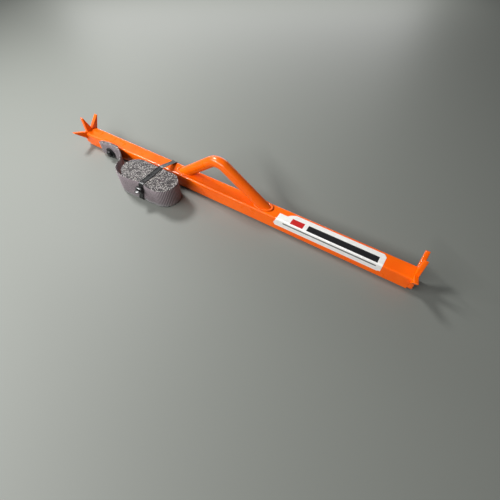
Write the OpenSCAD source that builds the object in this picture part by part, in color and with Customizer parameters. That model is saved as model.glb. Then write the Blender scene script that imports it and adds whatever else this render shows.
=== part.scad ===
// A square steel bar with a toothed plate on each end, a bent carrying handle on top
// and a webbing strap bolted to its side, rolled up and held by a cable tie.
// X runs along the bar, Z is up, and the strap is on the -Y side. The origin is the
// middle of the tube's underside. All sizes are in millimetres.

/* [Square tube] */
// Length of the tube between the end plates
tube_len = 796; // [780:2:810]
// Outside width and height of the tube
tube_side = 32; // [31:0.5:33]
// Wall thickness of the tube
tube_wall = 2.5; // [2:0.5:3]
// Outside corner radius of the tube
tube_corner = 4; // [3.5:0.5:5]

/* [Toothed end plates] */
// Thickness of each plate
plate_t = 8; // [6:1:10]
// Distance from the tube's centre line to a tooth's tip
tooth_reach = 52; // [48:1:60]
// Width of a tooth at its root
tooth_base = 16; // [12:1:18]
// Flat left on a tooth's tip
tooth_flat = 1.6; // [1:0.2:3]
// Angle between neighbouring teeth
tooth_step = 46; // [40:1:50]
// Turn of the left plate's teeth, towards the strap side
turn_left = 9; // [0:1:12]

/* [Handle] */
// Outside diameter of the handle tube
handle_od = 22; // [20:0.5:25]
// Wall thickness of the handle tube
handle_wall = 2; // [1.5:0.5:3]
// Where the short leg's centre line meets the top of the bar
foot_left = -96; // [-100:1:-84]
// Where the long leg's centre line meets the top of the bar
foot_right = 101; // [92:1:108]
// Where the two legs' centre lines would cross, along the bar
peak_x = -2; // [-12:1:6]
// Height of that crossing over the top of the bar
peak_rise = 70; // [62:1:74]
// Bend radius of the handle at its centre line
bend_r = 30; // [26:1:36]

/* [Strap] */
// Width of the webbing
web_w = 50; // [48:0.5:51]
// Thickness of one ply of the webbing
web_t = 2.4; // [2:0.1:2.6]
// Where the anchor bolt crosses the bar
bolt_x = -307; // [-312:1:-302]
// How far the folded strap end reaches past the bolt
eye_reach = 36; // [35:0.5:40]
// Radius about the bolt at which the sewn end meets the single ply
swivel_r = 34; // [32:0.5:35]

/* [Anchor bolt] */
// Diameter of the bolt's shank
bolt_d = 8; // [7.5:0.5:8]
// Diameter of the large washer on the strap
washer_d = 26; // [24:1:28]

/* [Cable tie] */
// Width of the tie
tie_w = 11; // [9:0.2:12.7]
// Thickness of the tie
tie_t = 1.3; // [1:0.1:1.4]
// Where the tie crosses the bar
tie_x = -141; // [-143:1:-139]
// Lean of the tie's plane from upright, towards the handle
tie_lean = 18; // [0:1:20]

/* [Label] */
// Where the label starts along the bar
label_x0 = 132; // [128:1:148]
// Where it ends
label_x1 = 348; // [328:1:358]
// Thickness of the label
label_t = 0.2; // [0.2:0.05:0.4]

/* [Hidden] */
$fn = 64;

half_len = tube_len / 2;
half_side = tube_side / 2;
mid_z = half_side;
orange = "#f56a0a";
webbing = "#a39a9c";
black = "#1b1b1c";
pale = "#c9c4c2";
zinc = "#8f9296";

plate_corner = 10;
plate_weld_depth = 1.2;
plate_weld_run = 2;
handle_bead = 2.6;
handle_bead_h = 3.2;

leg_angle_left = atan2(peak_rise, peak_x - foot_left);
leg_angle_right = atan2(peak_rise, foot_right - peak_x);
bend_turn = leg_angle_left + leg_angle_right;
tangent_len = bend_r * tan(bend_turn / 2);
peak = [peak_x, tube_side + peak_rise];
to_left = [-cos(leg_angle_left), -sin(leg_angle_left)];
to_right = [cos(leg_angle_right), -sin(leg_angle_right)];
inward = (to_left + to_right) / norm(to_left + to_right);
bend_centre = peak + inward * bend_r / cos(bend_turn / 2);
leg_len = peak_rise / sin(min(leg_angle_left, leg_angle_right));
bend_steps = 12;
handle_sides = 40;

// The stack on the bolt, from the bar's strap side outwards
side_gap = 0.3;
spacer_t = 2.7;
hem_plies = 3;
hem_t = hem_plies * web_t;
hem_in = half_side + spacer_t + side_gap;
hem_out = hem_in + hem_t;
washer_t = 2;
washer_in = hem_out + side_gap;
head_in = washer_in + washer_t;
head_af = 13;
head_h = 5.3;
spacer_d = 16;
flange_t = 1;
flange_d = 15;
insert_d = 11;
insert_len = 16;
insert_play = 0.05;
bulge_d = 14;
bulge_h = 4;
bolt_past_insert = 2;
eyelet_play = 0.35;
eyelet_wall = 2;
eyelet_r = bolt_d / 2 + eyelet_play;
hex_to_round = 1 / cos(30);

// The sewn end, seen from the strap side
eye_low = 2.5;
eye_tip_top = 34;
eye_top = 41;
eye_shoulder = 16;
eye_corner = 3;
swivel_gap = 0.4;
stitch_len = 3;
stitch_w = 0.9;
stitch_h = 0.4;
stitch_pitch = 4.2;
stitch_rows = [-31, -26, 19, 24];
stitch_z0 = 8;
stitch_count = 7;

// Plan of the single ply from the sewn end to the roll
run_y = -hem_out + web_t / 2;
run_route = [[-292, run_y], [-276, run_y], [-268, -29], [-260, -35], [-251, -43], [-242, -53],
    [-235, -63], [-229, -72], [-221, -81], [-211, -89], [-199, -94], [-186, -96], [-172, -96],
    [-160, -95]];
// The run's upper edge in X and Z: it dips where the strap turns away from the bar
run_top = [[-300, 41], [-292, 40], [-270, 37], [-245, 38], [-229, 46], [-213, web_w], [-150, web_w]];

// Plan of the rolled strap: two lobes and the waist that the tie pulls in
lobe_left = [-179, -63];
lobe_left_r = 31;
lobe_right = [-99, -64];
lobe_right_r = 32;
waist = [-141, -61];
waist_r = 29.5;
roll_near_y = waist[1] - waist_r;
roll_far_y = waist[1] + waist_r;
// How far the lobes stand past the waist within the tie's width
roll_bulge = 2.2;

tie_gap = 0.1;
tie_slack = 0.3;
tie_head_size = [15, 7, 12];
tie_head_z = 28;
tie_slot_h = 1.8;
tie_slot_w = tie_w + 0.6;
tie_slot_z = tie_head_z + 6.4;
tie_tail_len = 7;
tie_corner = 2.2;
tie_in_y = roll_near_y - roll_bulge - tie_gap;
tie_out_y = tie_in_y - tie_t;
tie_pocket = 1.2;
tie_play = 0.25;

label_top_y = 10;
label_side_z = 14;
label_corner = 5;
// How far the label's left end leans along the bar, below and above the bar's edge
label_lean_side = 8;
label_lean_top = 26;

// A square with rounded corners, centred on the tube's middle line
module soft_square(side, corner) {
    flat = side - 2 * corner;
    square([side, flat], center = true);
    square([flat, side], center = true);
    for (x = [-1, 1], y = [-1, 1]) translate([x * flat / 2, y * flat / 2]) circle(r = corner);
}

// Stands a shape drawn in Y and Z upright, from x0 for a length along the bar
module along_bar(x0, length) {
    translate([x0, 0, 0]) rotate([90, 0, 90]) linear_extrude(height = length) children();
}

// A round rod along Y through the bolt's axis
module on_bolt(r, y0, y1) {
    translate([bolt_x, y0, mid_z]) rotate([-90, 0, 0]) cylinder(r = r, h = y1 - y0);
}

// The tube's solid outer form
module tube_form(x0, length, grow) {
    along_bar(x0, length) translate([0, mid_z]) soft_square(tube_side + 2 * grow, tube_corner + grow);
}

module main_tube() color(orange) difference() {
    tube_form(-half_len, tube_len, 0);
    weld_ring(-half_len - 1, plate_weld_run + 1, 1);
    weld_ring(half_len - plate_weld_run, plate_weld_run + 1, 1);
    tube_form(-half_len - 1, tube_len + 2, -tube_wall);
    on_bolt(insert_d / 2 + insert_play, -half_side - 1, 0);
}

// One tooth, pointing away from the plate's centre at the given angle
module tooth(angle) {
    rotate(angle - 90) polygon([[-tooth_base / 2, 0], [tooth_base / 2, 0],
        [tooth_base / 2, half_side], [tooth_flat / 2, tooth_reach],
        [-tooth_flat / 2, tooth_reach], [-tooth_base / 2, half_side]]);
}

module toothed_plate(x0, turn) color(orange) along_bar(x0, plate_t) translate([0, mid_z]) {
    soft_square(tube_side, plate_corner);
    for (i = [-1, 0, 1]) tooth(90 + turn + i * tooth_step);
}

module toothed_plate_left() toothed_plate(-half_len - plate_t, turn_left);
module toothed_plate_right() toothed_plate(half_len, 0);

// A band round the tube, as deep as the plate's weld and standing out by a set amount
module weld_ring(x0, length, grow) difference() {
    tube_form(x0, length, grow);
    tube_form(x0 - 1, length + 2, -plate_weld_depth);
}

// The welds that hold the plates, ground flush with the tube
module plate_weld_left() color(orange) weld_ring(-half_len, plate_weld_run, 0);
module plate_weld_right() color(orange)
    weld_ring(half_len - plate_weld_run, plate_weld_run, 0);

// A straight leg of the handle, from the bend's tangent point past the bar's top
module leg(direction, r) {
    start = peak + direction * tangent_len;
    translate([start[0], 0, start[1]])
        rotate([0, atan2(direction[0], direction[1]), 0])
            cylinder(r = r, h = leg_len);
}

// A round rod along the handle's centre line, running on below the bar's top
function handle_angle(i) =
    90 + leg_angle_left - bend_turn * min(max(i - 1, 0), bend_steps) / bend_steps;
function handle_side(i) = [cos(handle_angle(i)), sin(handle_angle(i))];
function handle_centre(i) = bend_centre + bend_r * handle_side(i)
    + (i == 0 ? leg_len * to_left : i == bend_steps + 2 ? leg_len * to_right : [0, 0]);

module handle_form(r) {
    last = bend_steps + 2;
    rings = [for (i = [0 : last], j = [0 : handle_sides - 1])
        let (turn = 360 * j / handle_sides, at = handle_centre(i) + r * cos(turn) * handle_side(i))
            [at[0], r * sin(turn), at[1]]];
    walls = [for (i = [0 : last - 1], j = [0 : handle_sides - 1])
        let (k = (j + 1) % handle_sides, low = i * handle_sides, high = low + handle_sides)
            [low + j, low + k, high + k, high + j]];
    start = [for (j = [handle_sides - 1 : -1 : 0]) j];
    finish = [for (j = [0 : handle_sides - 1]) last * handle_sides + j];
    polyhedron(points = rings, faces = concat([start], walls, [finish]));
}

// Everything lower than the bar's top
module below_top() {
    translate([-half_len, -tube_side, -tube_side]) cube([tube_len, 2 * tube_side, 2 * tube_side]);
}

module handle() color(orange) difference() {
    handle_form(handle_od / 2);
    handle_form(handle_od / 2 - handle_wall);
    below_top();
}

module handle_weld(direction) color(orange) difference() {
    intersection() {
        leg(direction, handle_od / 2 + handle_bead);
        translate([-half_len, -tube_side, mid_z])
            cube([tube_len, 2 * tube_side, half_side + handle_bead_h]);
    }
    leg(direction, handle_od / 2);
    tube_form(-half_len, tube_len, 0);
}

module handle_weld_left() handle_weld(to_left);
module handle_weld_right() handle_weld(to_right);

module anchor_bolt() color(black) {
    on_bolt(bolt_d / 2, -head_in, -half_side + insert_len + bolt_past_insert);
    translate([bolt_x, -head_in, mid_z])
        rotate([90, 0, 0]) cylinder(d = head_af * hex_to_round, h = head_h, $fn = 6);
}

module ring_on_bolt(r_out, r_in, y0, y1) difference() {
    on_bolt(r_out, y0, y1);
    on_bolt(r_in, y0 - 1, y1 + 1);
}

module head_washer() color(black)
    ring_on_bolt(washer_d / 2, bolt_d / 2, -head_in, -washer_in);

module spacer_washer() color(black)
    ring_on_bolt(spacer_d / 2, bolt_d / 2, -half_side - spacer_t, -half_side - flange_t);

// A threaded insert riveted into the bar's near wall, so nothing shows on the far side
module rivet_nut() color(zinc) difference() {
    union() {
        on_bolt(flange_d / 2, -half_side - flange_t, -half_side);
        on_bolt(insert_d / 2, -half_side - flange_t, -half_side + insert_len);
        on_bolt(bulge_d / 2, -half_side + tube_wall, -half_side + tube_wall + bulge_h);
    }
    on_bolt(bolt_d / 2, -half_side - flange_t - 1, -half_side + insert_len + 1);
}

// The sewn end's outline in X and Z: a tapered tip and an arc about the bolt
module eye_outline() intersection() {
    polygon([[bolt_x - eye_reach, eye_low + eye_corner], [bolt_x - eye_reach, eye_tip_top - eye_corner],
        [bolt_x - eye_reach + eye_corner, eye_tip_top], [bolt_x + eye_shoulder, eye_top],
        [bolt_x + swivel_r, eye_top], [bolt_x + swivel_r, eye_low],
        [bolt_x - eye_reach + eye_corner, eye_low]]);
    union() {
        translate([bolt_x, mid_z]) circle(r = swivel_r, $fn = 128);
        translate([bolt_x - eye_reach, 0]) square([eye_reach, web_w]);
    }
}

module strap_eye() color(webbing) difference() {
    translate([0, -hem_in, 0]) rotate([90, 0, 0]) linear_extrude(height = hem_t) eye_outline();
    on_bolt(eyelet_r + eyelet_wall, -hem_out - 1, -hem_in + 1);
}

module eyelet() color(zinc)
    ring_on_bolt(eyelet_r + eyelet_wall, eyelet_r, -hem_out, -hem_in);

module eye_stitching() color(pale) {
    for (column = stitch_rows, i = [0 : stitch_count - 1])
        translate([bolt_x + column, -hem_out - stitch_h / 2, stitch_z0 + i * stitch_pitch])
            cube([stitch_w, stitch_h, stitch_len], center = true);
}

// A point beside a route's point i, so that the two lines stay a constant distance apart
function across(route, i) = let (d = route[i + 1] - route[i]) [-d[1], d[0]] / norm(d);
function beside(route, i, off) =
    let (a = across(route, max(i - 1, 0)), b = across(route, min(i, len(route) - 2)))
        route[i] + off * (a + b) / (1 + a * b);

// The plan outline of a ply that follows a route
module ply(route, t) {
    last = len(route) - 1;
    polygon(concat([for (i = [0 : last]) beside(route, i, -t / 2)],
        [for (i = [last : -1 : 0]) beside(route, i, t / 2)]));
}

module roll_outline() {
    hull() {
        translate(lobe_left) circle(r = lobe_left_r);
        translate(waist) circle(r = waist_r);
    }
    hull() {
        translate(waist) circle(r = waist_r);
        translate(lobe_right) circle(r = lobe_right_r);
    }
}

module strap_run() color(webbing) difference() {
    linear_extrude(height = web_w) difference() {
        ply(run_route, web_t);
        roll_outline();
    }
    on_bolt(swivel_r + swivel_gap, -hem_out - 1, -hem_in + 1);
    rotate([90, 0, 0]) linear_extrude(height = 2 * web_w) polygon(concat(run_top,
        [[run_top[len(run_top) - 1][0], web_w + 1], [run_top[0][0], web_w + 1]]));
}

module strap_roll() color(webbing) linear_extrude(height = web_w) roll_outline();

// Where the tie's middle line stands along the bar at a height
function lean_x(z) = tie_x + (z - web_w / 2) * tan(tie_lean);

// The loop's inner line in Y and Z: down from the head, under the bar and back over the roll
tie_route = [[tie_in_y, tie_slot_z - tie_t / 2 - tie_slack], [tie_in_y, -tie_gap],
    [half_side - tie_corner, -tie_gap], [half_side + tie_gap, tie_corner],
    [half_side + tie_gap, tube_side - tie_corner],
    [half_side - tie_corner, tube_side + tie_slack], [roll_far_y + tie_slack, web_w + tie_gap],
    [tie_in_y, web_w + tie_gap], [tie_in_y, tie_slot_z - tie_t / 2]];

// A flat band along a route in Y and Z, level across its width, leaning as it climbs
module tie_band() color(black) {
    last = len(tie_route) - 1;
    corners = [for (i = [0 : last], side = [-1, 1], off = [0, -tie_t])
        let (at = beside(tie_route, i, off)) [lean_x(tie_route[i][1]) + side * tie_w / 2, at[0], at[1]]];
    walls = [for (i = [0 : last - 1], edge = [[0, 1], [1, 3], [3, 2], [2, 0]])
        [4 * i + edge[0], 4 * i + edge[1], 4 * i + 4 + edge[1], 4 * i + 4 + edge[0]]];
    polyhedron(points = corners, faces = concat([[2, 3, 1, 0]], walls,
        [[4 * last, 4 * last + 1, 4 * last + 3, 4 * last + 2]]));
}

module tie_head() color(black) difference() {
    translate([lean_x(tie_slot_z) - tie_head_size[0] / 2, tie_out_y - tie_head_size[1], tie_head_z])
        cube(tie_head_size);
    translate([lean_x(tie_slot_z) - tie_slot_w / 2, tie_out_y - tie_head_size[1] - 1,
        tie_slot_z - tie_slot_h / 2])
        cube([tie_slot_w, tie_head_size[1] + 2, tie_slot_h]);
    translate([lean_x(tie_slot_z) - tie_w / 4, tie_out_y - tie_head_size[1] + 1, tie_slot_z])
        cube([tie_w / 2, tie_head_size[1] - 2, tie_slot_h / 2 + tie_pocket]);
}

module tie_tail() color(black)
    translate([lean_x(tie_slot_z) - tie_w / 2, tie_out_y - tie_head_size[1] - tie_tail_len,
        tie_slot_z - tie_t / 2])
        cube([tie_w, tie_head_size[1] + tie_tail_len, tie_t]);

module tie_pawl() color(black)
    translate([lean_x(tie_slot_z) - tie_w / 4 + tie_play, tie_out_y - tie_head_size[1] + 1 + tie_play,
        tie_slot_z + tie_t / 2])
        cube([tie_w / 2 - 2 * tie_play, tie_head_size[1] - 2 - 2 * tie_play, tie_slot_h / 2]);

// The label's outline laid on one face, with its outer corners cut and its left end leaning
module label_face(depth, lean) {
    left = label_x0 + label_lean_side;
    polygon([[left, 0], [label_x1, 0], [label_x1, depth - label_corner],
        [label_x1 - label_corner, depth], [left + lean + label_corner, depth],
        [left + lean * (depth - label_corner) / depth, depth - label_corner]]);
}

module label() color("white") difference() {
    tube_form(label_x0, label_x1 - label_x0, label_t);
    tube_form(label_x0 - 1, label_x1 - label_x0 + 2, 0);
    difference() {
        translate([label_x0 - 1, -tube_side, -tube_side])
            cube([label_x1 - label_x0 + 2, 2 * tube_side, 3 * tube_side]);
        translate([0, -half_side - 1, mid_z]) linear_extrude(height = tube_side)
            label_face(label_top_y + half_side + 1, label_lean_top);
        translate([0, 0, tube_side + 1]) rotate([-90, 0, 180]) mirror([1, 0, 0])
            linear_extrude(height = tube_side) label_face(tube_side + 1 - label_side_z, -label_lean_side);
    }
}

main_tube();
toothed_plate_left();
toothed_plate_right();
plate_weld_left();
plate_weld_right();
handle();
handle_weld_left();
handle_weld_right();
anchor_bolt();
head_washer();
spacer_washer();
rivet_nut();
strap_eye();
eyelet();
eye_stitching();
strap_run();
strap_roll();
tie_band();
tie_head();
tie_tail();
tie_pawl();
label();
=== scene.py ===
# %% [markdown]
# # A toothed steel bar with a carrying handle and a rolled strap
#
# The object is a square steel tube, coated glossy orange. A plate with three teeth closes each end, a
# bent tube on top is the handle, and a webbing strap is bolted to one side, rolled up and tied to the
# bar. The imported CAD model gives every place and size, so this script only gives the pieces their
# final shape and finish.

# %% Load the frame
import math
import random

import bmesh
import bpy
from mathutils import Matrix, Vector, noise


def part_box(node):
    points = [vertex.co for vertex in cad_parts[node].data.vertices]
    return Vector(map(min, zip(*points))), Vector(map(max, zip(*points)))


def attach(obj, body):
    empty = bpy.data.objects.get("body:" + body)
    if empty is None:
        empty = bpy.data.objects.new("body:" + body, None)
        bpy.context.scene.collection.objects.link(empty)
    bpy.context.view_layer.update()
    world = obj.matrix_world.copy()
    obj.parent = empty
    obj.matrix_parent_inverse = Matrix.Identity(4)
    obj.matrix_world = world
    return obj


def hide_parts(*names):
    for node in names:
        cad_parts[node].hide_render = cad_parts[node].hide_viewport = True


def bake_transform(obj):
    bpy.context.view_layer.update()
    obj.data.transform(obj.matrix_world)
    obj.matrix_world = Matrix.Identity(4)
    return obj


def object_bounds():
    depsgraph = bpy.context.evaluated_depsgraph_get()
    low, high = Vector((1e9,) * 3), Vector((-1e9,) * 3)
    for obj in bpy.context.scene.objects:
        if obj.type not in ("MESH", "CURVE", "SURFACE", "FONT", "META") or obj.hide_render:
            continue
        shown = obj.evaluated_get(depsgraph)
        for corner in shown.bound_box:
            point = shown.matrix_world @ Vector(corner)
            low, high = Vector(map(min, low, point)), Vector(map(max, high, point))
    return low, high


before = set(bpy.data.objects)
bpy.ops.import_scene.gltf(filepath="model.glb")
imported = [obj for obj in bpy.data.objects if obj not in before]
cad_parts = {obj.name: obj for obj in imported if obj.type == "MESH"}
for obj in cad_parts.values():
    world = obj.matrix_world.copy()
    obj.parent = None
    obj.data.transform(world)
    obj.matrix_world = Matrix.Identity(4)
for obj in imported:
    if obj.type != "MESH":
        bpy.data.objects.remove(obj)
cad_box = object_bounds()
MM = 0.001
print("CAD box in mm:", [[round(c / MM, 1) for c in corner] for corner in cad_box])

# %% [markdown]
# ## The camera, the floor and the light
#
# The camera stands over the bar's label end and looks down at it along a slant, so the bar runs away
# to the upper left. Its lens is short, because the camera is nearer to the bar than the bar is long.
# Two vectors say how it is turned: where it looks, and which way is right.

# %% Camera
LENS_MM = 23.19
SENSOR_MM = 36
STAND = Vector((326.4, -394.8, 488.4)) * MM
SIGHT = Vector((-0.3296, 0.5041, -0.7983))
RIGHT = Vector((0.8444, 0.5356, -0.0104))


def place_camera():
    data = bpy.data.cameras.new("camera")
    data.lens = LENS_MM
    data.sensor_width = SENSOR_MM
    camera = bpy.data.objects.new("camera", data)
    bpy.context.scene.collection.objects.link(camera)
    turn = Matrix((RIGHT, RIGHT.cross(SIGHT), -SIGHT)).transposed()
    camera.matrix_world = Matrix.Translation(STAND) @ turn.to_4x4()
    bpy.context.scene.camera = camera


place_camera()
print("the camera stands", round(STAND.length, 3), "m from the bar's middle")

# %% [markdown]
# The floor is one large grey face under the lowest point. A long strip light in front and another
# behind draw thin highlights along the bar's rounded corners, which shows that the coat is glossy. A
# small square light beyond the strap end is the key, so the roll's right-hand wall is the darker one.

# %% Floor and lights
FLOOR_Z = cad_box[0].z
FLOOR_SIZE = 4
FLOOR_GREY = (0.2, 0.21, 0.19, 1)
SKY_GREY = (0.86, 0.88, 0.9, 1)
SKY_STRENGTH = 0.12
AIM = Vector((0.0, -0.03, 0.0))


def finish_mesh(bm, name):
    """Turns a bmesh into an object at the origin."""
    mesh = bpy.data.meshes.new(name)
    bm.to_mesh(mesh)
    bm.free()
    piece = bpy.data.objects.new(name, mesh)
    bpy.context.scene.collection.objects.link(piece)
    return piece


def add_floor():
    bm = bmesh.new()
    bmesh.ops.create_grid(bm, x_segments=1, y_segments=1, size=FLOOR_SIZE)
    bmesh.ops.translate(bm, verts=bm.verts, vec=(0, 0, FLOOR_Z))
    floor = finish_mesh(bm, "floor")
    paint = bpy.data.materials.new("floor_paint")
    paint.use_nodes = True
    shader = paint.node_tree.nodes["Principled BSDF"]
    shader.inputs["Base Color"].default_value = FLOOR_GREY
    shader.inputs["Roughness"].default_value = 0.6
    floor.data.materials.append(paint)


def add_light(name, place, size, watts):
    data = bpy.data.lights.new(name, "AREA")
    data.shape = "RECTANGLE"
    data.size, data.size_y = size
    data.energy = watts
    light = bpy.data.objects.new(name, data)
    bpy.context.scene.collection.objects.link(light)
    place = Vector(place)
    turn = (AIM - place).to_track_quat("-Z", "Y").to_matrix().to_4x4()
    light.matrix_world = Matrix.Translation(place) @ turn


def add_sky():
    world = bpy.data.worlds.new("world")
    world.use_nodes = True
    background = world.node_tree.nodes["Background"]
    background.inputs["Color"].default_value = SKY_GREY
    background.inputs["Strength"].default_value = SKY_STRENGTH
    bpy.context.scene.world = world


add_floor()
add_light("front", (-0.55, -0.95, 0.8), (1.9, 0.06), 24)
add_light("key", (-1.0, 0.15, 1.1), (0.3, 0.3), 17)
add_light("back", (-0.8, 1.3, 0.3), (1.9, 0.1), 9)
add_sky()
bpy.context.scene.view_settings.view_transform = "Standard"
print("lights:", [light.name for light in bpy.data.lights])

# %% [markdown]
# ## The strap
#
# The strap is one length of ribbed webbing. Its cut end is folded into three plies, which the anchor
# bolt clamps to the bar. From there a single ply runs out to the roll, goes round it once and winds
# inwards to the core. The strap is modelled directly: a line of points in plan, drawn up into a
# strip, given its thickness, and then ribbed. A cloth simulation would lose the tight winding.

# %% Sizes of the strap, from the CAD boxes
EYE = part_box("strap_eye")
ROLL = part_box("strap_roll")
PLY = (EYE[1].y - EYE[0].y) / 3
WEB_W = ROLL[1].z - ROLL[0].z
RIB_PITCH = 3.4 * MM
RIB_H = 0.32 * MM
STEP = RIB_PITCH / 5
WIND_PITCH = 2.62 * MM
HEM_SHORT = 9 * MM
print("one ply is", round(PLY / MM, 2), "mm thick")

# %% [markdown]
# The run's points follow the CAD model's route from the bolt to the roll. The winding follows two
# lobes: a straight middle line with a half circle round each end. Each turn lies one ply further in,
# and the tie pulls the outer turns in a little where it crosses them.

# %% The strap's line in plan
RUN = [(-276, -25), (-268, -28.4), (-260, -34.4), (-251, -42.6), (-242, -52.8), (-235, -62.8),
       (-229, -71.8), (-221, -80.8), (-211, -88.8), (-199, -93.8), (-186, -95.6)]
RUN_TOP = [(-343, 34), (-307, 40), (-292, 40), (-270, 37), (-245, 38), (-229, 46), (-213, 50), (0, 50)]
LOBE_LEFT = Vector((-179, -63)) * MM
LOBE_RIGHT = Vector((-99, -64)) * MM
WAIST_X = -141 * MM
TUCK = Vector((-7, 5)) * MM
CORE_R = 1.6 * MM
PINCH = 4.0 * MM
PINCH_REACH = 17 * MM
WIND_POINTS = 3000


def winding_point(turns, first_r):
    """A point on the winding after a number of turns from the near side's left end."""
    r = first_r - WIND_PITCH * turns
    middle = LOBE_RIGHT - LOBE_LEFT
    straight, bend = middle.length, math.pi * r
    along = (turns % 1) * 2 * (straight + bend)
    lobe_angle = math.atan2(middle.y, middle.x)
    if along < straight:
        at, angle = LOBE_LEFT + middle * (along / straight), lobe_angle - math.pi / 2
    elif along < straight + bend:
        at, angle = LOBE_RIGHT, lobe_angle - math.pi / 2 + (along - straight) / r
    elif along < 2 * straight + bend:
        at = LOBE_RIGHT - middle * ((along - straight - bend) / straight)
        angle = lobe_angle + math.pi / 2
    else:
        at, angle = LOBE_LEFT, lobe_angle + math.pi / 2 + (along - 2 * straight - bend) / r
    near = max(0.0, -math.sin(angle)) * (r / first_r)
    point = at + Vector((math.cos(angle), math.sin(angle))) * r
    point.y += near * PINCH * math.exp(-(((point.x - WAIST_X) / PINCH_REACH) ** 2))
    return point


def even(points, step):
    """The same line with points a constant step apart."""
    out, spare = [points[0]], 0.0
    for a, b in zip(points, points[1:]):
        length = (b - a).length
        at = step - spare
        while at <= length:
            out.append(a.lerp(b, at / length))
            at += step
        spare = (spare + length) % step
    return out


def fold(x, y_from, y_to, side):
    """A half circle in plan that turns the webbing back on itself. side is 1 at a right-hand end."""
    r, y_mid = abs(y_to - y_from) / 2, (y_from + y_to) / 2
    start = math.copysign(math.pi / 2, y_from - y_to)
    return [Vector((x + side * r * math.cos(start * (1 - i / 4)), y_mid + r * math.sin(start * (1 - i / 4))))
            for i in range(9)]


def smooth_line(points, rounds=3):
    """Cuts the corners of a line, so that it curves."""
    for _ in range(rounds):
        cut = [points[0]]
        for a, b in zip(points, points[1:]):
            cut += [a.lerp(b, 0.25), a.lerp(b, 0.75)]
        points = cut + [points[-1]]
    return points


def strap_line():
    plies = [EYE[1].y - PLY * (i + 0.5) for i in range(3)]
    left, right = EYE[0].x + PLY, EYE[1].x - HEM_SHORT
    first_r = LOBE_LEFT.y - RUN[-1][1] * MM - PLY / 2
    turns = (first_r - CORE_R) / WIND_PITCH
    line = [Vector((left, plies[0]))]
    line += fold(right, plies[0], plies[1], 1)
    line += fold(left, plies[1], plies[2], -1)
    line += smooth_line([Vector(p) * MM for p in RUN])
    line += [winding_point(turns * i / WIND_POINTS, first_r) for i in range(1, WIND_POINTS + 1)]
    return even(line, STEP)


line = strap_line()
print("the strap is", round((len(line) - 1) * STEP, 3), "m long")

# %% [markdown]
# The strip starts as the line's points joined by edges. Each extrusion draws them up by one step of
# the width, and each point keeps two values: how far along the strap it is, and how far across.
# Solidify gives the thickness. The ribs are real: every point moves out or in by a wave along the
# strap, so they also show on the roll's top as a fine pattern of ply edges.

# %% Build the strap
ACROSS = 4
RISE_FROM = EYE[1].x - 6 * MM
RISE_TO = EYE[1].x + 22 * MM
WANDER = 0.5 * MM
WANDER_RATE = 2.3


def ease(x, low, high):
    """0 below low, 1 above high, and smooth between."""
    t = min(max((x - low) / (high - low), 0), 1)
    return t * t * (3 - 2 * t)


def strap_edges(x, along):
    """The lower and upper edge of the strap at a place."""
    rolled = ease(x, RISE_FROM, RISE_TO)
    turn_shift = WANDER * noise.noise(Vector((along * WANDER_RATE, 0, 7)))
    low = EYE[0].z * (1 - rolled)
    high = 0.0
    for (x0, z0), (x1, z1) in zip(RUN_TOP, RUN_TOP[1:]):
        if x0 * MM <= x < x1 * MM:
            high = (z0 + (z1 - z0) * ease(x, x0 * MM, x1 * MM)) * MM
    return low, high + turn_shift * rolled


def build_strap():
    bm = bmesh.new()
    along_layer = bm.verts.layers.float.new("along")
    across_layer = bm.verts.layers.float.new("across")
    row = [bm.verts.new((p.x, p.y, strap_edges(p.x, i * STEP)[0])) for i, p in enumerate(line)]
    for i, vert in enumerate(row):
        vert[along_layer] = i * STEP
    edges = [bm.edges.new(pair) for pair in zip(row, row[1:])]
    for level in range(1, ACROSS + 1):
        made = bmesh.ops.extrude_edge_only(bm, edges=edges)["geom"]
        edges = [e for e in made if isinstance(e, bmesh.types.BMEdge)]
        for vert in (v for v in made if isinstance(v, bmesh.types.BMVert)):
            low, high = strap_edges(vert.co.x, vert[along_layer])
            vert.co.z = low + (high - low) * level / ACROSS
            vert[across_layer] = level / ACROSS
    for vert in bm.verts:
        lean = TUCK * ease(vert.co.x, WAIST_X, LOBE_RIGHT.x) * (1 - vert.co.z / WEB_W)
        vert.co += Vector((lean.x, lean.y, 0))
    bmesh.ops.recalc_face_normals(bm, faces=bm.faces)
    bmesh.ops.solidify(bm, geom=bm.faces[:], thickness=PLY - 2 * RIB_H)
    bm.normal_update()
    for vert in bm.verts:
        wave = math.cos(2 * math.pi * vert[along_layer] / RIB_PITCH)
        vert.co += vert.normal * RIB_H * wave
    uv = bm.loops.layers.uv.new("webbing")
    for face in bm.faces:
        for loop in face.loops:
            loop[uv].uv = (loop.vert[along_layer], loop.vert[across_layer] * WEB_W)
        face.smooth = True
    return finish_mesh(bm, "strap_webbing")


strap = build_strap()
print("strap faces:", len(strap.data.polygons))
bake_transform(strap)
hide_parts("strap_eye", "strap_run", "strap_roll")

# %% [markdown]
# ## The finishes
#
# Every finish is a Principled BSDF fed by procedural patterns. Two effects are wanted again and
# again, so each is a node group: a soft mottle, which varies a colour or a gloss over the surface,
# and a fine grain, which turns noise into a normal through a Bump node.

# %% Shared effects


def new_group(name, inputs, outputs):
    group = bpy.data.node_groups.new(name, "ShaderNodeTree")
    for title, kind, value in inputs:
        socket = group.interface.new_socket(title, in_out="INPUT", socket_type=kind)
        socket.default_value = value
    for title, kind in outputs:
        group.interface.new_socket(title, in_out="OUTPUT", socket_type=kind)
    return group, group.nodes.new("NodeGroupInput"), group.nodes.new("NodeGroupOutput")


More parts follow.
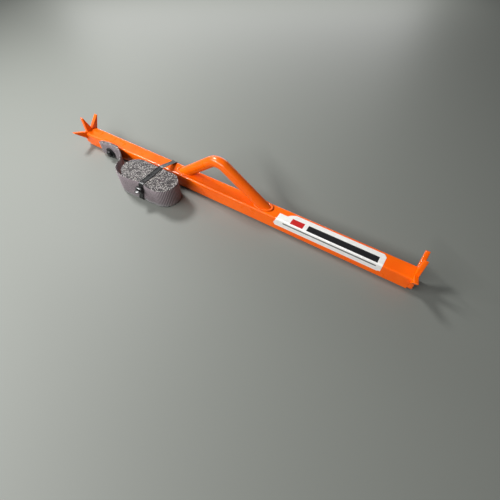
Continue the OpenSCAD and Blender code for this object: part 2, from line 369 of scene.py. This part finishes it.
def build_mottle():
    group, ins, outs = new_group(
        "mottle",
        [("Scale", "NodeSocketFloat", 50), ("Low", "NodeSocketFloat", 0), ("High", "NodeSocketFloat", 1)],
        [("Value", "NodeSocketFloat")])
    place = group.nodes.new("ShaderNodeTexCoord")
    cloud = group.nodes.new("ShaderNodeTexNoise")
    spread = group.nodes.new("ShaderNodeMapRange")
    cloud.inputs["Detail"].default_value = 4
    spread.inputs["From Min"].default_value = 0.3
    spread.inputs["From Max"].default_value = 0.7
    link = group.links.new
    link(place.outputs["Object"], cloud.inputs["Vector"])
    link(ins.outputs["Scale"], cloud.inputs["Scale"])
    link(cloud.outputs["Fac"], spread.inputs["Value"])
    link(ins.outputs["Low"], spread.inputs["To Min"])
    link(ins.outputs["High"], spread.inputs["To Max"])
    link(spread.outputs["Result"], outs.inputs["Value"])
    return group


def build_grain():
    group, ins, outs = new_group(
        "grain",
        [("Scale", "NodeSocketFloat", 900), ("Depth", "NodeSocketFloat", 0.0001)],
        [("Normal", "NodeSocketVector")])
    place = group.nodes.new("ShaderNodeTexCoord")
    cloud = group.nodes.new("ShaderNodeTexNoise")
    bump = group.nodes.new("ShaderNodeBump")
    cloud.inputs["Detail"].default_value = 2
    bump.inputs["Strength"].default_value = 1
    link = group.links.new
    link(place.outputs["Object"], cloud.inputs["Vector"])
    link(ins.outputs["Scale"], cloud.inputs["Scale"])
    link(cloud.outputs["Fac"], bump.inputs["Height"])
    link(ins.outputs["Depth"], bump.inputs["Distance"])
    link(bump.outputs["Normal"], outs.inputs["Normal"])
    return group


MOTTLE = build_mottle()
GRAIN = build_grain()


def colour(red, green, blue):
    """A colour given as screen values from 0 to 255, as the shader wants it."""

    def linear(level):
        return ((level / 255 + 0.055) / 1.055) ** 2.4 if level > 10 else level / 3294

    return linear(red), linear(green), linear(blue), 1


class Finish:
    """A material with its shader and short calls for what feeds it."""

    def __init__(self, name, **fixed):
        self.material = bpy.data.materials.new(name)
        self.material.use_nodes = True
        self.tree = self.material.node_tree
        self.shader = self.tree.nodes["Principled BSDF"]
        for socket, value in fixed.items():
            self.shader.inputs[socket.replace("_", " ")].default_value = value

    def add(self, kind, **inputs):
        node = self.tree.nodes.new(kind)
        for socket, value in inputs.items():
            self.set(node.inputs[socket.replace("_", " ")], value)
        return node

    def set(self, socket, value):
        if isinstance(value, bpy.types.NodeSocket):
            self.tree.links.new(value, socket)
        else:
            socket.default_value = value

    def mottle(self, scale, low, high):
        node = self.add("ShaderNodeGroup")
        node.node_tree = MOTTLE
        for socket, value in (("Scale", scale), ("Low", low), ("High", high)):
            node.inputs[socket].default_value = value
        return node.outputs["Value"]

    def grain(self, scale, depth):
        node = self.add("ShaderNodeGroup")
        node.node_tree = GRAIN
        node.inputs["Scale"].default_value = scale
        node.inputs["Depth"].default_value = depth
        return node.outputs["Normal"]

    def mix(self, amount, first, second):
        node = self.add("ShaderNodeMix")
        node.data_type = "RGBA"
        for index, value in ((0, amount), (6, first), (7, second)):
            self.set(node.inputs[index], value)
        return node.outputs[2]

    def math(self, operation, first, second=0.0, third=0.0):
        node = self.add("ShaderNodeMath")
        node.operation = operation
        for index, value in enumerate((first, second, third)):
            self.set(node.inputs[index], value)
        return node.outputs[0]

    def feed(self, **values):
        for socket, value in values.items():
            self.set(self.shader.inputs[socket.replace("_", " ")], value)
        return self

    def give(self, *pieces):
        for piece in pieces:
            piece.data.materials.clear()
            piece.data.materials.append(self.material)


print("shared effects:", [group.name for group in bpy.data.node_groups])

# %% [markdown]
# The orange coat is baked powder: a strong even colour with a faint orange-peel skin under a clear
# gloss. The peel is a shallow grain of about a millimetre, and a much wider mottle moves the gloss a
# little, so that long highlights aren't perfectly clean.

# %% Orange powder coat


def orange_coat():
    coat = Finish("orange_powder_coat", Coat_Weight=0.45, Coat_Roughness=0.06, Specular_IOR_Level=0.2)
    tone = coat.mix(coat.mottle(26, 0, 1), colour(250, 96, 0), colour(255, 108, 0))
    return coat.feed(Base_Color=tone, Roughness=coat.mottle(90, 0.24, 0.38), Normal=coat.grain(950, 0.00006))


ORANGE = orange_coat()
print("made", ORANGE.material.name)

# %% [markdown]
# The webbing is woven from grey yarns with a lilac cast. Its real ribs catch the light, and the
# material adds what is finer: each pick's yarns side by side, painted shade in the valleys between
# ribs, and pale and dark flecks along both edges, which paint light on the rolled ply edges and shade in the
# gaps between them.

# %% Grey webbing


YARN_PITCH = 1.1 * MM


def grey_webbing():
    web = Finish("grey_webbing", Roughness=0.85, Sheen_Weight=0.3, Sheen_Roughness=0.4)
    uv = web.add("ShaderNodeUVMap")
    uv.uv_map = "webbing"
    split = web.add("ShaderNodeSeparateXYZ", Vector=uv.outputs["UV"])
    along, across = split.outputs["X"], split.outputs["Y"]
    rib = web.math("COSINE", web.math("MULTIPLY", along, 2 * math.pi / RIB_PITCH))
    # Painted shade: the colour darkens towards a dark grey in the valleys between the ribs.
    valley_shade = web.math("MULTIPLY_ADD", rib, -0.5, 0.5)
    yarn = web.math("SINE", web.math("MULTIPLY", across, 2 * math.pi / YARN_PITCH))
    edge = web.math("ABSOLUTE", web.math("MULTIPLY_ADD", across, 2 / WEB_W, -1.0))
    near_edge = web.math("MAXIMUM", web.math("MULTIPLY_ADD", edge, 22.0, -20.4), 0.0)
    selvedge = web.math("SMOOTH_MIN", near_edge, 1.0, 0.2)
    # Painted light and shade along both edges: pale flecks stand for lit ply edges, dark flecks for the shade
    # in the gaps between the rolled plies.
    ply_gap_cells = web.add("ShaderNodeTexVoronoi", Scale=620.0, Vector=uv.outputs["UV"])
    ply_gap_shade_mask = web.math("GREATER_THAN", ply_gap_cells.outputs["Distance"], 0.42)
    body = web.mix(web.mottle(35, 0, 1), colour(158, 143, 148), colour(176, 162, 167))
    shaded = web.mix(web.math("MULTIPLY", valley_shade, 0.85), body, colour(40, 35, 38))
    ply_edge_light_and_gap_shade = web.mix(ply_gap_shade_mask, colour(206, 202, 196), colour(26, 24, 24))
    tone = web.mix(web.math("MULTIPLY", selvedge, 0.85), shaded, ply_edge_light_and_gap_shade)
    height = web.math("MULTIPLY_ADD", yarn, 0.25, rib)
    bump = web.add("ShaderNodeBump", Strength=0.5, Distance=0.00018, Height=height)
    return web.feed(Base_Color=tone, Normal=bump.outputs["Normal"])


WEBBING = grey_webbing()
WEBBING.give(strap)
print("gave", WEBBING.material.name, "to", strap.name)

# %% [markdown]
# The small parts share four plain finishes: satin black steel on the bolt and its washers, dull zinc
# on the eyelet and the threaded insert, glossy black nylon on the cable tie, and pale thread.

# %% Steel, zinc, nylon and thread


def black_steel():
    steel = Finish("black_oxide_steel", Metallic=0.6)
    tone = steel.mix(steel.mottle(400, 0, 1), colour(26, 26, 28), colour(52, 51, 52))
    rough = steel.mottle(700, 0.35, 0.6)
    return steel.feed(Base_Color=tone, Roughness=rough, Normal=steel.grain(1800, 0.00003))


def zinc_steel():
    zinc = Finish("zinc_steel", Metallic=1.0)
    tone = zinc.mix(zinc.mottle(260, 0, 1), colour(150, 152, 158), colour(196, 196, 192))
    return zinc.feed(Base_Color=tone, Roughness=zinc.mottle(500, 0.28, 0.5), Normal=zinc.grain(1500, 0.00003))


def black_nylon():
    nylon = Finish("black_nylon", Coat_Weight=0.15, Coat_Roughness=0.1)
    tone = nylon.mix(nylon.mottle(300, 0, 1), colour(8, 8, 9), colour(18, 18, 20))
    rough = nylon.mottle(400, 0.25, 0.4)
    return nylon.feed(Base_Color=tone, Roughness=rough, Normal=nylon.grain(900, 0.00004))


def pale_thread():
    thread = Finish("pale_thread", Roughness=0.7, Sheen_Weight=0.4)
    tone = thread.mix(thread.mottle(1500, 0, 1), colour(150, 142, 144), colour(206, 198, 198))
    return thread.feed(Base_Color=tone, Normal=thread.grain(3000, 0.0001))


BLACK_STEEL, ZINC, NYLON, THREAD = black_steel(), zinc_steel(), black_nylon(), pale_thread()
print("finishes so far:", [material.name for material in bpy.data.materials])

# %% [markdown]
# ## Parts copied from the CAD model
#
# The CAD shapes of the tube, plates, bolt, washers and tie's head are kept, but their meshes are
# loose triangles with razor edges. A merged copy of each gets smooth shading, and all but the tube
# also a small bevel where two faces meet sharply, as a coated, turned or moulded part has. The copy
# then stands for its node.

# %% Softened copies
SHARP = math.radians(32)
FLAT = math.radians(1)
MERGE_GAP = 0.00002
BEVEL_STEPS = 2
PLATE_BEVEL = 0.7 * MM
STEEL_BEVEL = 0.35 * MM
ZINC_BEVEL = 0.3 * MM
NYLON_BEVEL = 0.4 * MM
FINE_BEVEL = 0.15 * MM


def softened(node, finish, body="root", bevel=0.0):
    """A merged copy of a CAD node, bevelled when a bevel is given, which stands for it."""
    bm = bmesh.new()
    bm.from_mesh(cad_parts[node].data)
    bmesh.ops.remove_doubles(bm, verts=bm.verts, dist=MERGE_GAP)
    bmesh.ops.dissolve_limit(bm, angle_limit=FLAT, verts=bm.verts, edges=bm.edges)
    sharp = [e for e in bm.edges if len(e.link_faces) == 2 and e.calc_face_angle(0) > SHARP]
    if bevel:
        bmesh.ops.bevel(bm, geom=sharp, affect="EDGES", offset=bevel, segments=BEVEL_STEPS,
                        profile=0.5, material=-1, clamp_overlap=True)
    for face in bm.faces:
        face.smooth = True
    piece = finish_mesh(bm, node + "_finished")
    piece.data.set_sharp_from_angle(angle=SHARP)
    finish.give(piece)
    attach(piece, body)
    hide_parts(node)
    print(piece.name, "has", len(piece.data.polygons), "faces")


softened("main_tube", ORANGE)
for side in ("left", "right"):
    softened("toothed_plate_" + side, ORANGE, bevel=PLATE_BEVEL)
for node in ("anchor_bolt", "head_washer", "spacer_washer"):
    softened(node, BLACK_STEEL, bevel=STEEL_BEVEL)
softened("rivet_nut", ZINC, bevel=ZINC_BEVEL)
softened("eyelet", ZINC, body="strap_end", bevel=ZINC_BEVEL)
for node in ("tie_head", "tie_tail"):
    softened(node, NYLON, bevel=NYLON_BEVEL)
softened("tie_pawl", NYLON, bevel=FINE_BEVEL)
softened("eye_stitching", THREAD, body="strap_end", bevel=FINE_BEVEL)

# %% [markdown]
# ## The handle
#
# The handle is one round tube with a bend near its middle. A circle is laid across the short leg,
# below its foot, drawn up to where the bend starts, spun round the bend's centre, and drawn down past
# the other foot. A cut along the bar's top gives the slanted ends, and solidify gives the wall.

# %% Handle
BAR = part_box("main_tube")
BAR_TOP = BAR[1].z
HANDLE_R = (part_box("handle")[1].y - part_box("handle")[0].y) / 2
FEET_X = (-96 * MM, 101 * MM)
PEAK = Vector((-2 * MM, 0, BAR_TOP + 70 * MM))
BEND_R = 30 * MM
WALL = 2 * MM
SPARE_LEFT = 30 * MM
SPARE_RIGHT = 60 * MM
FEET = [Vector((x, 0, BAR_TOP)) for x in FEET_X]
LEGS = [(foot - PEAK).normalized() for foot in FEET]
TURN = math.pi - LEGS[0].angle(LEGS[1])
TANGENT = BEND_R * math.tan(TURN / 2)


def build_handle():
    bm = bmesh.new()
    bend_at = PEAK + (LEGS[0] + LEGS[1]).normalized() * BEND_R / math.cos(TURN / 2)
    start = FEET[0] + LEGS[0] * SPARE_LEFT
    across = Matrix.Translation(start) @ LEGS[0].to_track_quat("Z", "Y").to_matrix().to_4x4()
    circle = bmesh.ops.create_circle(bm, segments=48, radius=HANDLE_R, matrix=across)["verts"]
    ring = list({e for v in circle for e in v.link_edges})

    def draw_to(ring, offset):
        made = bmesh.ops.extrude_edge_only(bm, edges=ring)["geom"]
        bmesh.ops.translate(bm, verts=[g for g in made if isinstance(g, bmesh.types.BMVert)], vec=offset)
        return [g for g in made if isinstance(g, bmesh.types.BMEdge)]

    ring = draw_to(ring, PEAK + LEGS[0] * TANGENT - start)
    spun = bmesh.ops.spin(bm, geom=ring, cent=bend_at, axis=(0, 1, 0), angle=TURN, steps=20)["geom_last"]
    ring = [g for g in spun if isinstance(g, bmesh.types.BMEdge)]
    draw_to(ring, FEET[1] + LEGS[1] * SPARE_RIGHT - (PEAK + LEGS[1] * TANGENT))
    bmesh.ops.remove_doubles(bm, verts=bm.verts, dist=0.00001)
    everything = bm.verts[:] + bm.edges[:] + bm.faces[:]
    bmesh.ops.bisect_plane(bm, geom=everything, plane_co=(0, 0, BAR_TOP), plane_no=(0, 0, 1),
                           clear_inner=True)
    bmesh.ops.recalc_face_normals(bm, faces=bm.faces)
    bmesh.ops.solidify(bm, geom=bm.faces[:], thickness=WALL)
    for face in bm.faces:
        face.smooth = True
    piece = finish_mesh(bm, "handle_tube")
    piece.data.set_sharp_from_angle(angle=SHARP)
    return piece


handle = build_handle()
ORANGE.give(handle)
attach(handle, "root")
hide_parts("handle")
print("handle box in mm:", [[round(c / MM, 1) for c in corner[:]] for corner in handle.bound_box][0::6])

# %% [markdown]
# ## Weld beads
#
# A weld is laid as a row of small overlapping puddles, which freeze into ripples. A closed curve
# goes round each foot of the handle, its thickness rises and falls once for each puddle, and the
# powder coat covers it like the rest. The curve is made a mesh, so that it is exported as drawn. The
# end plates' welds are ground flush, so those are softened copies of the CAD rings.

# %% Welds
RIPPLE = 2.3 * MM
THIN, SWELL, WOBBLE = 0.84, 0.2, 0.02
BEAD_R = 2.5 * MM
BEAD_SEED = 3
CORNER_Y = 12 * MM
RING_BEVEL = 0.25 * MM


def bead(name, nodes, path, radius, seed):
    """A rippled weld along a closed path."""
    random.seed(seed)
    length = sum((b - a).length for a, b in zip(path, path[1:] + path[:1]))
    ripples = round(length / RIPPLE)
    data = bpy.data.curves.new(name, "CURVE")
    data.dimensions = "3D"
    data.bevel_depth = radius
    data.bevel_resolution = 4
    spline = data.splines.new("POLY")
    spline.points.add(len(path) - 1)
    spline.use_cyclic_u = True
    for i, (point, at) in enumerate(zip(spline.points, path)):
        phase = (i / len(path) * ripples) % 1
        point.co = (*at, 1)
        point.radius = THIN + SWELL * math.sqrt(1 - phase) + random.uniform(-WOBBLE, WOBBLE)
    drawn = bpy.data.objects.new(name, data)
    bpy.context.scene.collection.objects.link(drawn)
    mesh = bpy.data.meshes.new_from_object(drawn.evaluated_get(bpy.context.evaluated_depsgraph_get()))
    bpy.data.objects.remove(drawn)
    piece = bpy.data.objects.new(name, mesh)
    bpy.context.scene.collection.objects.link(piece)
    for face in mesh.polygons:
        face.use_smooth = True
    ORANGE.give(piece)
    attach(piece, "root")
    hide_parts(*nodes)
    print(name, "has", ripples, "ripples")


def foot_path(foot, leg, points=320):
    """The oval where a leg meets the bar's top, just outside the leg."""
    long_r = HANDLE_R / math.sqrt(1 - leg.x ** 2) + 0.6 * MM
    short_r = HANDLE_R + 0.4 * MM
    path = []
    for i in range(points):
        angle = 2 * math.pi * i / points
        y = short_r * math.sin(angle)
        drop = max(0.0, abs(y) - CORNER_Y) * 0.5
        path.append(Vector((foot.x + long_r * math.cos(angle), y, BAR_TOP + 0.5 * MM - drop)))
    return path


for side, foot, leg in zip(("left", "right"), FEET, LEGS):
    bead("handle_bead_" + side, ["handle_weld_" + side], foot_path(foot, leg), BEAD_R, BEAD_SEED)
for side in ("left", "right"):
    softened("plate_weld_" + side, ORANGE, bevel=RING_BEVEL)

# %% [markdown]
# ## The cable tie
#
# The tie is a moulded nylon band with a raised rail along each edge and fine teeth between them. Its
# section is drawn once and carried along the loop: down from the head, under the roll and the bar, up
# the bar's far side and back over the roll. Corners are rounded, because nylon doesn't fold sharply.

# %% Cable tie band
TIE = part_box("tie_band")
TIE_T = 1.3 * MM
TIE_W = 11 * MM
TIE_LEAN = math.radians(18)
TIE_X = -141 * MM
TOOTH_PITCH = 1.4 * MM
TOOTH_H = 0.15 * TIE_T
TIE_CORNER = 2.2 * MM
TIE_GAP = 0.3 * MM
TIE_BEND = 3 * MM
RAIL_W = 1.0 * MM
GROOVE_H = 0.55 * TIE_T


def tie_path():
    """The band's inner line in Y and Z, with rounded corners and even steps."""
    near, far = TIE[0].y + TIE_T, TIE[1].y - TIE_T
    low, high = TIE[0].z + TIE_T, TIE[1].z - TIE_T
    tail_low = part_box("tie_tail")[0].z
    corners = [(near, tail_low - TIE_GAP), (near, low), (far - TIE_CORNER, low), (far, TIE_CORNER),
               (far, BAR_TOP - TIE_CORNER), (far - TIE_CORNER, BAR_TOP + TIE_GAP),
               (ROLL[1].y, high), (near, high), (near, tail_low)]
    corners = [Vector(c) for c in corners]
    path = [corners[0]]
    for before, at, after in zip(corners, corners[1:], corners[2:]):
        reach = min(TIE_BEND, (before - at).length / 2, (after - at).length / 2)
        a, b = at + (before - at).normalized() * reach, at + (after - at).normalized() * reach
        path += [a.lerp(at, t / 6).lerp(at.lerp(b, t / 6), t / 6) for t in range(7)]
    return even(path + [corners[-1]], TOOTH_PITCH / 4)


def build_tie():
    path = tie_path()
    section = [(-0.5 * TIE_W, 0), (-0.5 * TIE_W, TIE_T), (-0.5 * TIE_W + RAIL_W, TIE_T),
               (-0.5 * TIE_W + 1.3 * RAIL_W, GROOVE_H), (0.5 * TIE_W - 1.3 * RAIL_W, GROOVE_H),
               (0.5 * TIE_W - RAIL_W, TIE_T), (0.5 * TIE_W, TIE_T), (0.5 * TIE_W, 0)]
    bm = bmesh.new()
    ring = [bm.verts.new((across, 0, up)) for across, up in section]
    edges = [bm.edges.new((a, b)) for a, b in zip(ring, ring[1:] + ring[:1])]
    for i, at in enumerate(path):
        ahead = (path[min(i + 1, len(path) - 1)] - path[max(i - 1, 0)]).normalized()
        out = Vector((ahead.y, -ahead.x))
        tooth = TOOTH_H * (i % 4) / 3
        if i:
            made = bmesh.ops.extrude_edge_only(bm, edges=edges)["geom"]
            fresh = [g for g in made if isinstance(g, bmesh.types.BMVert)]
            edges = [g for g in made if isinstance(g, bmesh.types.BMEdge)
                     and all(v in fresh for v in g.verts)]
            ring = [next(e.other_vert(v) for e in v.link_edges if e.other_vert(v) in fresh) for v in ring]
        for vert, (across, up) in zip(ring, section):
            up += tooth if up == GROOVE_H else 0
            yz = at + out * up
            vert.co = (TIE_X + (yz.y - WEB_W / 2) * math.tan(TIE_LEAN) + across, yz.x, yz.y)
    bmesh.ops.holes_fill(bm, edges=[e for e in bm.edges if e.is_boundary])
    bmesh.ops.recalc_face_normals(bm, faces=bm.faces)
    for face in bm.faces:
        face.smooth = True
    piece = finish_mesh(bm, "cable_tie")
    piece.data.set_sharp_from_angle(angle=SHARP)
    return piece


tie = build_tie()
NYLON.give(tie)
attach(tie, "root")
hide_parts("tie_band")
print("cable tie faces:", len(tie.data.polygons))

# %% [markdown]
# ## The label
#
# A vinyl label wraps over the bar's edge, from the top face on to the side. It is plain: a white
# ground with one black band, one red band and a thin grey line. The pattern reads the distance along
# the bar and the distance round the corner, so it lies straight on both faces.

# %% Label
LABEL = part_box("label")
PRINT_ROW = (2 * MM, 16 * MM)
LINE_ROW = (-8 * MM, -5 * MM)


def printed_vinyl():
    vinyl = Finish("label_film", Coat_Weight=0.6, Coat_Roughness=0.12)
    place = vinyl.add("ShaderNodeTexCoord")
    split = vinyl.add("ShaderNodeSeparateXYZ", Vector=place.outputs["Object"])
    along = split.outputs["X"]
    height = vinyl.math("SUBTRACT", split.outputs["Z"], BAR_TOP)
    round_it = vinyl.math("SUBTRACT", vinyl.math("ADD", split.outputs["Y"], height), LABEL[0].y)

    def band(x0, x1, row):
        low, high = row
        inside_x = vinyl.math("COMPARE", along, (x0 + x1) / 2, (x1 - x0) / 2)
        inside_y = vinyl.math("COMPARE", round_it, (low + high) / 2, (high - low) / 2)
        return vinyl.math("MULTIPLY", inside_x, inside_y)

    x0, x1 = LABEL[0].x, LABEL[1].x
    tone = vinyl.mix(vinyl.mottle(120, 0, 1), colour(232, 231, 226), colour(244, 243, 240))
    tone = vinyl.mix(band(x0 + 68 * MM, x1 - 10 * MM, PRINT_ROW), tone, colour(22, 22, 24))
    tone = vinyl.mix(band(x0 + 34 * MM, x0 + 60 * MM, PRINT_ROW), tone, colour(196, 30, 28))
    tone = vinyl.mix(band(x0 + 20 * MM, x1 - 10 * MM, LINE_ROW), tone, colour(86, 86, 88))
    rough = vinyl.mottle(200, 0.3, 0.42)
    return vinyl.feed(Base_Color=tone, Roughness=rough, Normal=vinyl.grain(700, 0.00003))


softened("label", printed_vinyl())
